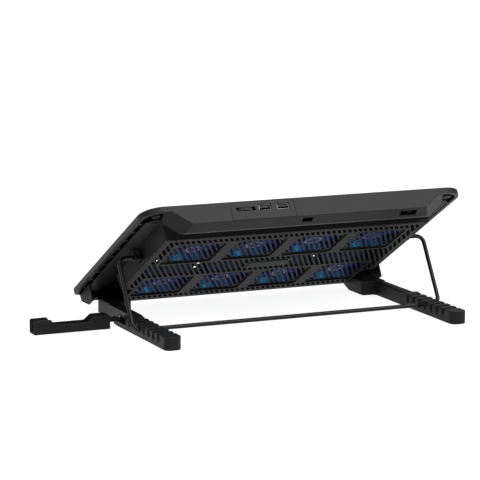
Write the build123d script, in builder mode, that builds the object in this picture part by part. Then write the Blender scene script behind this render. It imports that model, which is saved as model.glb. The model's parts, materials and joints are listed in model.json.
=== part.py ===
"""Laptop cooling pad: a sloping pad with eight fans, on two folding legs and a wire bail.

Row frame: +X to the user's right, +Y away from the user, +Z up, millimetres. The origin is on
the desk, under the middle of the whole object's box. The pad is drawn on its own tilted plane
PAD: its X is the row's X, its Y runs from the front edge up to the rear edge, and its Z is 0 on
the face that carries the laptop and negative below it.
"""

import os
from math import cos, radians, sin, sqrt, tan

from build123d import *

# ---------------------------------------------------------------- driving dimensions
PAD_WIDTH = 400.0
PAD_DEPTH = 277.0
PAD_TILT = 29.4  # degrees, crossbar in the third notch
PAD_FRONT_Z = 20.47  # height of the pad's front top edge over the desk
MID_X = -47.0  # the pad's middle plane, in the row frame
FRONT_Y = -137.9  # the pad's front edge, in the row frame
WALL = 2.4  # common moulded wall

# top frame
RIM_WIDTH = 5.0
RIM_DROP = 6.9
DECK = 2.6
REAR_CORNER = 24.0
FRONT_CORNER = 11.0
EDGE_ROUND = 1.4
MESH_WIDTH = 344.0
MESH_FRONT = 30.0
MESH_REAR = 252.0
MESH_SHEET = 1.0
SNAP_PITCH = 26.2

# rear control housing, part of the top frame
BLOCK_DEPTH = 19.0
BLOCK_DROP = 23.0
BLOCK_LOW = 28.4
BLOCK_LEDGE = 4.0
BLOCK_ROUND = 0.9
PANEL_LEFT = 19.0
PANEL_RIGHT = 97.4
PANEL_TOP = 1.6
PANEL_LOW = 22.4
DIAL_U = 79.2
DIAL_DROP = 9.8
DIAL_RADIUS = 10.8
DIAL_PROUD = 1.3
DIAL_THICK = 3.4
DIAL_SLOT = 23.3
USB_PLACES = (55.6, 33.4)
USB_DROP = 9.0
BOARD_DROP = 14.4
SWITCH_U = -124.0
SWITCH_WINDOW = 21.0
SWITCH_BACK = 8.0
SWITCH_TRAVEL = 3.4

# bottom cover
FLANGE_HALF = 190.0
FLANGE_TOP = 7.0
FLANGE_LOW = 8.9
BOX_HALF_TOP = 168.0
BOX_HALF_LOW = 165.0
BOX_FRONT = 30.0
BOX_REAR_TOP = 242.7
BOX_REAR_LOW = 238.4
BOX_LOW = 27.7
CHEEK_HALF = 191.5
CHEEK_REAR = 42.0
POCKET_INNER = 149.6
POCKET_OUTER = 189.0
POCKET_REAR = 72.0
SCREW_PLACES = [
    (-178.5, 248.0), (178.5, 248.0), (-60.0, 248.0), (60.0, 248.0), (-181.0, 100.0), (181.0, 100.0),
]
CORNER_BOSSES = [(-182.0, 263.0), (182.0, 263.0)]

# grille
GRILLE_HALF = BOX_HALF_LOW - WALL + 0.2
GRILLE_FRONT = BOX_FRONT + WALL - 0.2
GRILLE_REAR = BOX_REAR_LOW - WALL + 0.2
GRILLE_THICK = 3.3
CELL_SINK = 1.8
SLOT_PITCH = 6.75
SLOT_BAR = 2.5
SLOT_SLANT = 27.5  # degrees from the pad's depth direction

# fans
FAN_COLUMN_PITCH = 76.2
FAN_ROWS = (74.5, 186.0)
FAN_WINDOW = 61.5
FAN_WINDOW_ROUND = 34.5
FAN_SQUARE = 65.0
FAN_BORE = 31.0
FAN_THICK = 14.0
FAN_LOW = 24.2
ROTOR_RADIUS = 29.9
HUB_RADIUS = 12.0
LAMP_RADIUS = 1.5
LAMP_LENGTH = 6.0
LAMP_OFFSETS = ((-20.0, -39.5), (11.0, -39.5))  # from the fan's middle
BLADES = 9

# legs
LEG_INNER = 168.1
LEG_OUTER = 188.3
LEG_HEIGHT = 15.7
RAIL_OUTER = 181.4
RAIL_HEIGHT = 16.8
HEAD_INNER = 151.2
HEAD_HEIGHT = 18.0
HEAD_REAR = 77.0
TOE_START = 38.4
RECESS_END = 112.5
SHELF_END = 152.0
KNUCKLE = 6.2
PIN_RADIUS = 2.5
PIN_S = 12.0
PIN_DROP = 14.0
NOSE_END = 275.8
NOTCHES = 7
NOTCH_PITCH = 14.76
NOTCH_LAST = 252.86
NOTCH_WIDTH = 6.0
NOTCH_FLOOR = 6.2
FOOT_SINK = 0.9
FOOT_PROUD = 0.3

# wire bail
WIRE = 2.5
BAIL_ARM = 195.0
BAIL_S = 160.0
BAIL_DROP = 18.0
BAIL_NOTCH = 3

# phone holder
HOLDER_START = 202.3
HOLDER_END = 294.0
HOLDER_FRONT = 121.8
HOLDER_WIDTH = 18.0
HOLDER_HEIGHT = 17.1
HOLDER_LOW = 10.7
HOLDER_PIN = (186.0, 126.5)
HOLDER_PIN_RADIUS = 1.75
TONGUE_LOW = 6.6
TONGUE_THICK = 4.6

# laptop stops
STOP_MIDDLE = 108.0
STOP_LENGTH = 86.0
STOP_FRONT = 3.0
STOP_REAR = 21.5
STOP_PIN_S = 6.2
STOP_PIN_DROP = 2.9

RUNNING = 0.06  # radial clearance of every pin and shaft

# ---------------------------------------------------------------- frames and places
TILT = radians(PAD_TILT)
PAD = Plane(
    origin=(MID_X, FRONT_Y, PAD_FRONT_Z),
    x_dir=(1, 0, 0),
    z_dir=(0, -sin(TILT), cos(TILT)),
)
DESK = Plane(origin=(MID_X, FRONT_Y, 0), x_dir=(1, 0, 0), z_dir=(0, 0, 1))
FAN_PLACES = [
    (FAN_COLUMN_PITCH * (column - 1.5), row) for row in FAN_ROWS for column in range(4)
]


def pad_plane(drop):
    """Plane parallel to the laptop's face, this far below it."""
    return PAD.offset(-drop)


def pad_side(u):
    """Plane across the pad at this distance to the right: its x is depth, its y is height."""
    return Plane(origin=PAD.from_local_coords((u, 0, 0)), x_dir=PAD.y_dir, z_dir=PAD.x_dir)


def desk_side(x):
    """Upright plane at this distance to the right: its x is row Y, its y is height."""
    return Plane(origin=DESK.from_local_coords((x, 0, 0)), x_dir=(0, 1, 0), z_dir=(1, 0, 0))


def in_desk(s, drop):
    """Row-Y distance from the front edge and height of a point on the pad's section."""
    y = s * cos(TILT) + drop * sin(TILT)
    z = PAD_FRONT_Z + s * sin(TILT) - drop * cos(TILT)
    return y, z


LEG_AXIS = in_desk(PIN_S, PIN_DROP)
BAIL_AXIS = in_desk(BAIL_S, BAIL_DROP)
BAIL_FOOT = (NOTCH_LAST - (NOTCHES - BAIL_NOTCH) * NOTCH_PITCH, NOTCH_FLOOR + WIRE + 0.1)


def save(builder, name):
    """Label a finished piece and write its STEP file."""
    builder.part.label = name
    export_step(builder.part, f"parts/{name}.step")


def outline(*points):
    """Flat face inside a closed run of straight edges."""
    with BuildSketch() as shape:
        with BuildLine():
            Polyline(*points, close=True)
        make_face()
    return shape.sketch


def pad_outline(inset=0.0):
    """Pad outline with larger rear corners, moved in by inset."""
    with BuildSketch() as shape:
        with Locations((0, PAD_DEPTH / 2)):
            Rectangle(PAD_WIDTH - 2 * inset, PAD_DEPTH - 2 * inset)
        fillet(vertices().sort_by(Axis.Y)[:2], FRONT_CORNER - inset)
        fillet(vertices().sort_by(Axis.Y)[-2:], REAR_CORNER - inset)
    return shape.sketch


# ---------------------------------------------------------------- top frame
def block_section(top, inset=0.0):
    """Closed section of the rear control housing below this drop, moved in by inset."""
    rear = PAD_DEPTH - inset
    front = PAD_DEPTH - BLOCK_DEPTH + inset
    low = -BLOCK_LOW + inset
    return outline(
        (rear, -top),
        (rear, -BLOCK_DROP + 0.6 * inset),
        (front + BLOCK_LEDGE, low),
        (front, low),
        (front, -top),
    )


def block_end(side):
    """Plane of the control housing's flared, sloping end."""
    corner = PAD.from_local_coords((side * 166.0, PAD_DEPTH, -7.8))
    low = PAD.from_local_coords((side * 146.0, PAD_DEPTH, -22.5))
    inner = PAD.from_local_coords((side * 150.3, PAD_DEPTH - 13.1, -27.7))
    normal = (low - corner).cross(inner - corner).normalized()
    if normal.dot(PAD.x_dir) * side < 0:
        normal = normal * -1
    return Plane(origin=corner, z_dir=normal)


def control_housing(top, inset=0.0):
    """Solid of the rear housing with its flared ends, moved in by inset."""
    with BuildPart(mode=Mode.PRIVATE) as housing:
        with BuildSketch(pad_side(-175)):
            add(block_section(top, inset))
        extrude(amount=350)
        for side in (-1, 1):
            split(bisect_by=block_end(side).offset(-inset), keep=Keep.BOTTOM)
        if inset == 0:
            upper = housing.edges().group_by(Axis((0, 0, 0), PAD.z_dir))[-1]
            long_edges = housing.edges().filter_by(Axis.X)
            fillet([edge for edge in long_edges if edge not in upper], BLOCK_ROUND)
    return housing.part


def snap_places():
    """Centres of the ribs that bridge the gap between rim and bottom cover."""
    count = int((BOX_REAR_TOP - 30) // SNAP_PITCH) + 1
    middle = (FLANGE_HALF + PAD_WIDTH / 2 - RIM_WIDTH) / 2
    return [
        (side * middle, 30 + SNAP_PITCH * step) for side in (-1, 1) for step in range(count)
    ]


def make_top_frame():
    housing = control_housing(EDGE_ROUND + 0.1)
    hollow = control_housing(DECK, WALL)
    above = Axis((0, 0, 0), PAD.z_dir)
    with BuildPart() as top_frame:
        with BuildSketch(PAD):
            add(pad_outline())
        extrude(amount=-RIM_DROP)
        fillet(top_frame.edges().group_by(above)[-1], EDGE_ROUND)
        fillet(top_frame.edges().group_by(above)[0], 0.5)
        with BuildSketch(pad_plane(DECK)):
            add(pad_outline(RIM_WIDTH))
        extrude(amount=-RIM_DROP, mode=Mode.SUBTRACT)
        with BuildSketch(PAD):
            with Locations((0, (MESH_FRONT + MESH_REAR) / 2)):
                RectangleRounded(MESH_WIDTH - 8, MESH_REAR - MESH_FRONT - 8, 6)
        extrude(amount=-RIM_DROP, mode=Mode.SUBTRACT)
        # rebate for the metal mesh
        with BuildSketch(PAD):
            with Locations((0, (MESH_FRONT + MESH_REAR) / 2)):
                RectangleRounded(MESH_WIDTH + 0.6, MESH_REAR - MESH_FRONT + 0.6, 6)
        extrude(amount=-(MESH_SHEET + 0.1), mode=Mode.SUBTRACT)
        # troughs that carry the laptop stops
        with BuildSketch(pad_plane(0)):
            with Locations((-STOP_MIDDLE, 0), (STOP_MIDDLE, 0)):
                with Locations((0, (STOP_FRONT + STOP_REAR) / 2)):
                    Rectangle(STOP_LENGTH + 8, STOP_REAR - STOP_FRONT + 4)
        extrude(amount=-RIM_DROP)
        with BuildSketch(pad_plane(0)):
            with Locations((-STOP_MIDDLE, 0), (STOP_MIDDLE, 0)):
                with Locations((0, (STOP_FRONT + STOP_REAR) / 2 + 0.2)):
                    Rectangle(STOP_LENGTH + 1, STOP_REAR - STOP_FRONT + 0.8)
        extrude(amount=-(RIM_DROP - 1.1), mode=Mode.SUBTRACT)
        # snap ribs along both sides
        with BuildSketch(pad_plane(DECK)):
            with Locations(*snap_places()):
                Rectangle(PAD_WIDTH / 2 - RIM_WIDTH - FLANGE_HALF + 0.6, 4.2)
        extrude(amount=-(RIM_DROP - DECK - 0.3))
        # screw bosses in the rear corners
        with BuildSketch(pad_plane(DECK)):
            with Locations(*CORNER_BOSSES):
                Circle(4.6)
                Circle(1.7, mode=Mode.SUBTRACT)
        extrude(amount=-5.2)
        # bosses for the six cover screws
        with BuildSketch(pad_plane(DECK)):
            with Locations(*SCREW_PLACES):
                Circle(3.6)
                Circle(1.25, mode=Mode.SUBTRACT)
        extrude(amount=-(FLANGE_TOP - DECK))
        add(housing)
        add(hollow, mode=Mode.SUBTRACT)
        # opening for the port panel
        with BuildSketch(pad_side(PANEL_LEFT)):
            with Locations((PAD_DEPTH - WALL / 2, -(PANEL_TOP + PANEL_LOW) / 2)):
                Rectangle(WALL + 1.0, PANEL_LOW - PANEL_TOP + 0.2)
        extrude(amount=PANEL_RIGHT - PANEL_LEFT, mode=Mode.SUBTRACT)
        # slot in the housing's front wall, where the speed dial turns
        with BuildSketch(pad_plane(DIAL_DROP - DIAL_THICK / 2 - 0.5)):
            with Locations((DIAL_U, PAD_DEPTH - BLOCK_DEPTH + WALL / 2)):
                Rectangle(2 * DIAL_RADIUS, WALL + 1)
        extrude(amount=-(DIAL_THICK + 1.0), mode=Mode.SUBTRACT)
        # screwdriver slot and lamp switch window in the sloping underside
        with BuildSketch(pad_plane(BLOCK_LOW + 2)):
            with Locations((4, PAD_DEPTH - 7.0)):
                Rectangle(13, 8)
            with Locations((SWITCH_U, PAD_DEPTH - SWITCH_BACK)):
                Rectangle(SWITCH_WINDOW, 9)
        extrude(amount=9, mode=Mode.SUBTRACT)
    save(top_frame, "top_frame")


def make_top_mesh():
    with BuildPart() as top_mesh:
        with BuildSketch(PAD):
            with Locations((0, (MESH_FRONT + MESH_REAR) / 2)):
                RectangleRounded(MESH_WIDTH, MESH_REAR - MESH_FRONT, 5.7)
                with HexLocations(6.9, 27, 17):
                    RegularPolygon(3.9, 6, mode=Mode.SUBTRACT)
        extrude(amount=-MESH_SHEET)
    save(top_mesh, "top_mesh")


# ---------------------------------------------------------------- rear housing contents
def panel_face(u, drop):
    """Plane on the port panel's outer face, x to the right and y up, facing the rear."""
    return Plane(
        origin=PAD.from_local_coords((u, PAD_DEPTH, -drop)), x_dir=-PAD.x_dir, z_dir=PAD.y_dir
    )


def make_port_panel():
    middle = (PANEL_LEFT + PANEL_RIGHT) / 2
    with BuildPart() as port_panel:
        with BuildSketch(panel_face(middle, (PANEL_TOP + PANEL_LOW) / 2)):
            Rectangle(PANEL_RIGHT - PANEL_LEFT - 0.4, PANEL_LOW - PANEL_TOP)
        extrude(amount=-WALL)
        with BuildSketch(panel_face(DIAL_U, DIAL_DROP)):
            RectangleRounded(DIAL_SLOT, DIAL_THICK + 0.8, 0.4)
        extrude(amount=-WALL, mode=Mode.SUBTRACT)
        for u in USB_PLACES:
            with BuildSketch(panel_face(u, USB_DROP)):
                RectangleRounded(15.1, 6.6, 0.5)
            extrude(amount=-WALL, mode=Mode.SUBTRACT)
    save(port_panel, "port_panel")


def make_usb_ports():
    """Folded metal shells with their contact tongues, just behind the panel's face."""
    for number, u in enumerate(USB_PLACES, start=1):
        face = panel_face(u, USB_DROP)
        with BuildPart() as usb_shell:
            with BuildSketch(face.offset(-1.4)):
                RectangleRounded(13.8, 6.0, 0.6)
            extrude(amount=-13.4)
            with BuildSketch(face.offset(-1.4)):
                RectangleRounded(13.1, 5.3, 0.4)
            extrude(amount=-12.8, mode=Mode.SUBTRACT)
        save(usb_shell, f"usb_shell_{number}")
        with BuildPart() as usb_tongue:
            with BuildSketch(face.offset(-3.0)):
                with Locations((0, 1.2)):
                    Rectangle(11.0, 1.9)
            extrude(amount=-10.8)
        save(usb_tongue, f"usb_tongue_{number}")


def make_speed_dial():
    centre = PAD_DEPTH + DIAL_PROUD - DIAL_RADIUS
    with BuildPart() as speed_dial:
        with BuildSketch(pad_plane(DIAL_DROP - DIAL_THICK / 2)):
            with Locations((DIAL_U, centre)):
                Circle(DIAL_RADIUS)
        extrude(amount=-DIAL_THICK)
        fillet(speed_dial.edges().filter_by(GeomType.CIRCLE), 0.5)
        with BuildSketch(pad_plane(DIAL_DROP - DIAL_THICK / 2)):
            with Locations((DIAL_U, centre)):
                with PolarLocations(DIAL_RADIUS + 0.35, 48):
                    Circle(0.75)
        extrude(amount=-DIAL_THICK, mode=Mode.SUBTRACT)
        with BuildSketch(pad_plane(DIAL_DROP - DIAL_THICK / 2)):
            with Locations((DIAL_U, centre)):
                Circle(3.0 + RUNNING)
        extrude(amount=-DIAL_THICK, mode=Mode.SUBTRACT)
    save(speed_dial, "speed_dial")


def make_control_board():
    """Circuit board that lies flat in the rear housing, with the dial's potentiometer on it."""
    centre = PAD_DEPTH + DIAL_PROUD - DIAL_RADIUS
    with BuildPart() as control_board:
        with BuildSketch(pad_plane(BOARD_DROP)):
            with Locations((58, PAD_DEPTH - 9.6)):
                Rectangle(96, 12.6)
        extrude(amount=-1.6)
    save(control_board, "control_board")
    with BuildPart() as dial_spindle:
        with BuildSketch(pad_plane(BOARD_DROP)):
            with Locations((DIAL_U, centre + 0.6)):
                Rectangle(9, 9)
        extrude(amount=2.4)
        with BuildSketch(pad_plane(BOARD_DROP)):
            with Locations((DIAL_U, centre)):
                Circle(3.0)
        extrude(amount=BOARD_DROP - DIAL_DROP + DIAL_THICK / 2 + 0.6)
    save(dial_spindle, "dial_spindle")


def make_lamp_switch():
    """Slide switch for the lamps, set in the housing's sloping underside."""
    place = PAD_DEPTH - SWITCH_BACK
    with BuildPart() as switch_body:
        with BuildSketch(pad_plane(17.0)):
            with Locations((SWITCH_U, place)):
                Rectangle(SWITCH_WINDOW - 1, 8.4)
        extrude(amount=-4.6)
        with BuildSketch(pad_plane(21.6)):
            with Locations((SWITCH_U, place)):
                Rectangle(9.0, 3.6)
        extrude(amount=1.4, mode=Mode.SUBTRACT)
    save(switch_body, "lamp_switch_body")
    with BuildPart() as switch_slider:
        with BuildSketch(pad_plane(20.5)):
            with Locations((SWITCH_U - SWITCH_TRAVEL / 2, place)):
                Rectangle(4.4, 2.9)
        extrude(amount=-4.0, taper=8)
    save(switch_slider, "lamp_switch_slider")


# ---------------------------------------------------------------- bottom cover and grille
def drafted_box(inset=0.0):
    """Fan housing's drafted box, moved in by inset, from the flange's top to the grille."""
    front = BOX_FRONT + inset
    levels = ((FLANGE_TOP, BOX_HALF_TOP, BOX_REAR_TOP), (BOX_LOW, BOX_HALF_LOW, BOX_REAR_LOW))
    with BuildPart() as box:
        for drop, half, rear in levels:
            with BuildSketch(pad_plane(drop)):
                with Locations((0, (front + rear - inset) / 2)):
                    Rectangle(2 * (half - inset), rear - inset - front)
        loft()
    return box.part


def front_section(inset=0.0):
    """Section of the block across the pad's front: nearly level under the raised pad."""
    return outline(
        (3.2 + inset, -FLANGE_TOP),
        (4.6 + inset, -16.2 + 0.4 * inset),
        (26.0 + 0.4 * inset, -BOX_LOW + inset),
        (CHEEK_REAR - inset, -BOX_LOW + inset),
        (CHEEK_REAR - inset, -FLANGE_TOP),
    )


def make_bottom_cover():
    with BuildPart() as bottom_cover:
        with BuildSketch(pad_plane(FLANGE_TOP)):
            with Locations((0, (3.2 + 256.5) / 2)):
                Rectangle(2 * FLANGE_HALF, 256.5 - 3.2)
            fillet(vertices().sort_by(Axis.Y)[-2:], 14)
            fillet(vertices().sort_by(Axis.Y)[:2], 5)
        extrude(amount=-(FLANGE_LOW - FLANGE_TOP))
        add(drafted_box())
        with BuildSketch(pad_side(-CHEEK_HALF)):
            add(front_section())
        extrude(amount=2 * CHEEK_HALF)
        # inside of the fan housing, open at the top and at the bottom
        add(drafted_box(WALL), mode=Mode.SUBTRACT)
        # inside of the front block
        with BuildSketch(pad_side(-(POCKET_INNER - WALL))):
            add(front_section(WALL))
        extrude(amount=2 * (POCKET_INNER - WALL), mode=Mode.SUBTRACT)
        # walls round the leg pockets, then the pockets themselves
        for side in (-1, 1):
            middle = side * (POCKET_INNER - WALL + BOX_HALF_LOW) / 2
            with BuildSketch(pad_plane(FLANGE_TOP)):
                with Locations((middle, (BOX_FRONT + POCKET_REAR + WALL) / 2)):
                    Rectangle(BOX_HALF_LOW - POCKET_INNER + WALL, POCKET_REAR + WALL - BOX_FRONT)
            extrude(amount=-(BOX_LOW - FLANGE_TOP))
        pocket = (POCKET_INNER + POCKET_OUTER) / 2
        with BuildSketch(pad_plane(FLANGE_LOW)):
            with Locations(*[(side * pocket, (5.0 + POCKET_REAR) / 2) for side in (-1, 1)]):
                RectangleRounded(POCKET_OUTER - POCKET_INNER, POCKET_REAR - 5.0, 3)
        extrude(amount=-(BOX_LOW - FLANGE_LOW + 2), mode=Mode.SUBTRACT)
        # room for the hinge knuckles in the pockets' roofs
        with BuildSketch(pad_plane(FLANGE_TOP - 0.2)):
            with Locations(*[(side * pocket, PIN_S) for side in (-1, 1)]):
                RectangleRounded(POCKET_OUTER - POCKET_INNER, 14.0, 3)
        extrude(amount=-(FLANGE_LOW - FLANGE_TOP + 0.4), mode=Mode.SUBTRACT)
        # the cheeks: their bores take the leg pins
        with BuildSketch(pad_side(-CHEEK_HALF - 1)):
            with Locations((PIN_S, -PIN_DROP)):
                Circle(PIN_RADIUS + 0.02)
        extrude(amount=2 * CHEEK_HALF + 2, mode=Mode.SUBTRACT)
        # bores in the side walls for the bail's ends
        with BuildSketch(pad_side(-BOX_HALF_TOP - 1)):
            with Locations((BAIL_S, -BAIL_DROP)):
                Circle(WIRE + RUNNING)
        extrude(amount=2 * BOX_HALF_TOP + 2, mode=Mode.SUBTRACT)
        # holes for the cover screws
        with BuildSketch(pad_plane(FLANGE_TOP)):
            with Locations(*SCREW_PLACES):
                Circle(1.6)
        extrude(amount=-(FLANGE_LOW - FLANGE_TOP), mode=Mode.SUBTRACT)
    save(bottom_cover, "bottom_cover")


def fan_window():
    """Square window with its corners rounded off by a circle."""
    with BuildSketch() as window:
        Rectangle(FAN_WINDOW, FAN_WINDOW - 2)
        Circle(FAN_WINDOW_ROUND, mode=Mode.INTERSECT)
    return window.sketch


def grille_openings():
    """Open parts of the grille, before the bars cross them: edge rows, middle band, fan windows."""
    with BuildSketch() as openings:
        for s, depth in ((226.3, 10.4), (37.4, 8.6)):
            with Locations((0, s)):
                Rectangle(316, depth)
        for side in (-1, 1):
            with Locations((side * 153.6, 152.0)):
                Rectangle(9.0, 159.0)
        with Locations((0, 130.5)):
            Rectangle(316, 42.5)
        with Locations(*FAN_PLACES):
            add(fan_window())
        with Locations((0, 130.8)):
            Rectangle(56, 23, mode=Mode.SUBTRACT)
        for side in (-1, 1):
            with Locations((side * 160.0, 53.0)):
                Rectangle(29, 46, mode=Mode.SUBTRACT)
        add(grille_bars(), mode=Mode.SUBTRACT)
    return openings.sketch


def grille_bars():
    """Slanted bars that cross every opening."""
    lean = tan(radians(SLOT_SLANT))
    reach = 110.0
    count = int(GRILLE_HALF * 2 / SLOT_PITCH) + 22
    middle = 130.0
    first = -GRILLE_HALF - 11 * SLOT_PITCH
    bars = []
    for step in range(count):
        foot = first + step * SLOT_PITCH
        bars += outline(
            (foot - reach * lean, middle - reach),
            (foot + reach * lean, middle + reach),
            (foot + reach * lean + SLOT_BAR, middle + reach),
            (foot - reach * lean + SLOT_BAR, middle - reach),
        ).faces()
    return bars


def make_grille():
    with BuildPart() as grille:
        with BuildSketch(pad_plane(BOX_LOW)):
            with Locations((0, (GRILLE_FRONT + GRILLE_REAR) / 2)):
                Rectangle(2 * GRILLE_HALF - 0.6, GRILLE_REAR - GRILLE_FRONT - 0.6)
            with Locations(*[(side * 162.0, 53.0) for side in (-1, 1)]):
                Rectangle(30.4, 43.4, mode=Mode.SUBTRACT)
            add(grille_openings(), mode=Mode.SUBTRACT)
        extrude(amount=GRILLE_THICK)
        with BuildSketch(pad_plane(BOX_LOW)):
            with Locations(*FAN_PLACES):
                RectangleRounded(FAN_WINDOW + 1.6, FAN_WINDOW + 0.6, 5)
        extrude(amount=CELL_SINK, mode=Mode.SUBTRACT)
    save(grille, "bottom_grille")
    with BuildPart() as blank_plate:
        with BuildSketch(pad_plane(BOX_LOW)):
            with Locations((0, 130.8)):
                RectangleRounded(50, 17.5, 2)
        extrude(amount=-0.8)
        fillet(blank_plate.edges().group_by(Axis((0, 0, 0), PAD.z_dir))[0], 0.5)
    save(blank_plate, "blank_plate")


# ---------------------------------------------------------------- fans
def make_fans():
    for number, (u, s) in enumerate(FAN_PLACES, start=1):
        base = pad_plane(FAN_LOW)
        with BuildPart() as fan_frame:
            with BuildSketch(base):
                with Locations((u, s)):
                    RectangleRounded(FAN_SQUARE, FAN_SQUARE, 5)
                    Circle(FAN_BORE, mode=Mode.SUBTRACT)
                    with GridLocations(FAN_SQUARE - 8, FAN_SQUARE - 8, 2, 2):
                        Circle(1.6, mode=Mode.SUBTRACT)
            extrude(amount=FAN_THICK)
            # sockets on the front edge that hold the lamps
            with BuildSketch(base.offset(LAMP_LENGTH)):
                with Locations(*[(u + a, s + b + 2.7) for a, b in LAMP_OFFSETS]):
                    RectangleRounded(4.4, 9.0, 1)
            extrude(amount=4.0)
            # motor plate and its three arms, on the side next to the laptop
            with BuildSketch(base.offset(FAN_THICK)):
                with Locations((u, s)):
                    Circle(HUB_RADIUS + 1)
                    with PolarLocations((FAN_BORE + HUB_RADIUS) / 2, 3, 20):
                        Rectangle(FAN_BORE - HUB_RADIUS + 3, 3.4)
            extrude(amount=-1.6)
            with BuildSketch(base.offset(FAN_THICK)):
                with Locations((u, s)):
                    Circle(1.0)
            extrude(amount=-10.5)
        save(fan_frame, f"fan_frame_{number}")
        make_rotor(number, u, s)


def make_rotor(number, u, s):
    """Hub with pitched blades, turning on the frame's fixed spindle."""
    lead = 34.0
    with BuildPart() as fan_rotor:
        with BuildSketch(pad_plane(FAN_LOW - 1.6)):
            with Locations((u, s)):
                Circle(HUB_RADIUS)
        extrude(amount=9.6)
        middle = PAD.from_local_coords((u, s, -FAN_LOW + 6.2))
        for blade in range(BLADES):
            turn = 360.0 / BLADES * blade
            radial = PAD.x_dir.rotate(Axis((0, 0, 0), PAD.z_dir), turn)
            across = radial.cross(PAD.z_dir).rotate(Axis((0, 0, 0), radial), lead)
            face = Plane(origin=middle, x_dir=across, z_dir=radial)
            with BuildSketch(face.offset(HUB_RADIUS - 1.5)):
                Rectangle(10.5, 1.2)
            with BuildSketch(face.offset(ROTOR_RADIUS - 1.2)):
                Rectangle(14.0, 1.0, rotation=-8)
            loft()
        with BuildSketch(pad_plane(FAN_LOW - 3.0)):
            with Locations((u, s)):
                Circle(1.0 + RUNNING)
        extrude(amount=FAN_THICK, mode=Mode.SUBTRACT)
    save(fan_rotor, f"fan_rotor_{number}")


def make_fan_lamps():
    """Two clear lamps along the front edge of each fan, between it and the grille."""
    places = [(u + a, s + b) for u, s in FAN_PLACES for a, b in LAMP_OFFSETS]
    with BuildPart() as fan_lamps:
        with BuildSketch(pad_plane(FAN_LOW)):
            with Locations(*places):
                Circle(LAMP_RADIUS)
        extrude(amount=LAMP_LENGTH)
    save(fan_lamps, "fan_lamps")


# ---------------------------------------------------------------- fasteners
def make_fasteners():
    with BuildPart() as cover_screws:
        with BuildSketch(pad_plane(FLANGE_LOW)):
            with Locations(*SCREW_PLACES):
                Circle(2.6)
        extrude(amount=-1.3)
        with BuildSketch(pad_plane(FLANGE_LOW)):
            with Locations(*SCREW_PLACES):
                Circle(1.2)
        extrude(amount=5.4)
        with BuildSketch(pad_plane(FLANGE_LOW + 1.3)):
            with Locations(*SCREW_PLACES):
                Rectangle(2.6, 0.6)
                Rectangle(0.6, 2.6)
        extrude(amount=0.7, mode=Mode.SUBTRACT)
    save(cover_screws, "cover_screws")
    corners = (FAN_SQUARE - 8) / 2
    places = [
        (u + a * corners, s + b * corners) for u, s in FAN_PLACES for a, b in ((-1, -1), (1, 1))
    ]
    with BuildPart() as fan_screws:
        with BuildSketch(pad_plane(FAN_LOW - FAN_THICK)):
            with Locations(*places):
                Circle(2.6)
        extrude(amount=1.4)
        with BuildSketch(pad_plane(FAN_LOW - FAN_THICK)):
            with Locations(*places):
                Circle(1.4)
        extrude(amount=-FAN_THICK + 0.2)
    save(fan_screws, "fan_screws")


# ---------------------------------------------------------------- legs
def leg_plan(side):
    """Leg seen from above: slim bar, round nose, and a head that widens inwards."""
    outer = side * LEG_OUTER
    inner = side * LEG_INNER
    head = side * HEAD_INNER
    rail = side * RAIL_OUTER
    with BuildSketch() as plan:
        with BuildLine():
            Polyline(
                (inner, NOSE_END),
                (inner, HEAD_REAR),
                (head, HEAD_REAR),
                (head, 8),
                (side * 166.0, 8),
                (rail, 42),
                (rail, RECESS_END),
                (outer, RECESS_END),
                (outer, NOSE_END),
                close=True,
            )
        make_face()
        for y, radius in ((NOSE_END, 7.5), (HEAD_REAR, 5.5), (42, 16)):
            fillet([corner for corner in vertices() if abs(corner.Y - y) < 0.1], radius)
    return plan.sketch


def leg_side():
    """Leg seen from the side: level sole, toe chamfer tangent to the hinge knuckle."""
    y, z = LEG_AXIS
    return outline(
        (y, HEAD_HEIGHT),
        (HEAD_REAR + 1, HEAD_HEIGHT),
        (HEAD_REAR + 1, RAIL_HEIGHT),
        (SHELF_END, RAIL_HEIGHT),
        (156, LEG_HEIGHT),
        (NOSE_END, LEG_HEIGHT),
        (NOSE_END, FOOT_PROUD),
        (TOE_START, FOOT_PROUD),
        toe_tangent(y, z),
        (y, z),
    )


def toe_tangent(y, z):
    """Point where a line from the sole's front end touches the knuckle from below."""
    run = Vector(y - TOE_START, z - FOOT_PROUD)
    reach = sqrt(run.length**2 - KNUCKLE**2)
    unit = run.normalized()
    below = Vector(-unit.Y, unit.X)
    point = unit * (reach**2 / run.length) + below * (reach * KNUCKLE / run.length)
    return TOE_START + point.X, FOOT_PROUD + point.Y


def notch_places():
    return [NOTCH_LAST - NOTCH_PITCH * step for step in range(NOTCHES)]


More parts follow.
